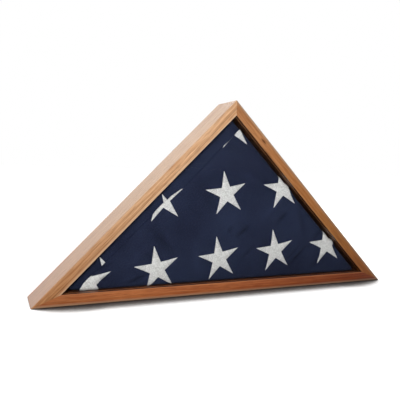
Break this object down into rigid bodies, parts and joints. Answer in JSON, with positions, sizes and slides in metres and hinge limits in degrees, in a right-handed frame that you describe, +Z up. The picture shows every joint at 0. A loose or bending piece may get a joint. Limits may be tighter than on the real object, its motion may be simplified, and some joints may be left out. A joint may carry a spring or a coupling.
{
  "type": "folded flag display case",
  "caption": "Triangular glazed wooden case that stands or hangs, with a folded flag inside and a back panel held by turn buttons.",
  "frame": {"origin": "middle of the footprint, on the surface that the base board stands on", "axes": "+X along the base to the viewer's right, +Y from the glass to the back, +Z up"},
  "size_m": [0.68, 0.08, 0.34],
  "materials": {
    "stained_wood": "satin lacquer",
    "beech": "raw",
    "clear_glass": "polished",
    "navy_cotton": "woven",
    "plywood": "stained",
    "brass_sheet": "satin",
    "brass_screw": "satin",
    "zinc_steel": "zinc plated",
    "rubber": "matte"
  },
  "bodies": {
    "case": {"base_board": "stained_wood", "left_side_board": "stained_wood", "right_side_board": "stained_wood", "left_corner_biscuit": "beech", "right_corner_biscuit": "beech", "apex_biscuit": "beech", "glass_pane": "clear_glass", "folded_flag": "navy_cotton", "back_panel": "plywood", "pan_head_screws": "brass_screw", "left_hanger_strap": "zinc_steel", "right_hanger_strap": "zinc_steel", "left_bumper": "rubber", "right_bumper": "rubber"},
    "left_turn_button": {"left_turn_button": "brass_sheet"},
    "right_turn_button": {"right_turn_button": "brass_sheet"},
    "base_left_turn_button": {"base_left_turn_button": "brass_sheet"},
    "base_right_turn_button": {"base_right_turn_button": "brass_sheet"},
    "left_hanger_ring": {"left_hanger_ring": "zinc_steel"},
    "right_hanger_ring": {"right_hanger_ring": "zinc_steel"}
  },
  "joints": [
    {"name": "left_turn_button_turn", "type": "hinge", "parent": "case", "child": "left_turn_button", "pos_m": [-0.17253, 0.03695, 0.15898], "axis": [0, 1, 0], "continuous": true},
    {"name": "right_turn_button_turn", "type": "hinge", "parent": "case", "child": "right_turn_button", "pos_m": [0.17253, 0.03695, 0.15898], "axis": [0, 1, 0], "continuous": true},
    {"name": "base_left_turn_button_turn", "type": "hinge", "parent": "case", "child": "base_left_turn_button", "pos_m": [-0.15, 0.03695, 0.006], "axis": [0, 1, 0], "continuous": true},
    {"name": "base_right_turn_button_turn", "type": "hinge", "parent": "case", "child": "base_right_turn_button", "pos_m": [0.15, 0.03695, 0.006], "axis": [0, 1, 0], "continuous": true},
    {"name": "left_hanger_ring_swing", "type": "hinge", "parent": "case", "child": "left_hanger_ring", "pos_m": [-0.08061, 0.0379, 0.2509], "axis": [0.7071, 0, -0.7071], "range_deg": [0, 180]},
    {"name": "right_hanger_ring_swing", "type": "hinge", "parent": "case", "child": "right_hanger_ring", "pos_m": [0.08061, 0.0379, 0.2509], "axis": [0.7071, 0, 0.7071], "range_deg": [0, 180]}
  ]
}
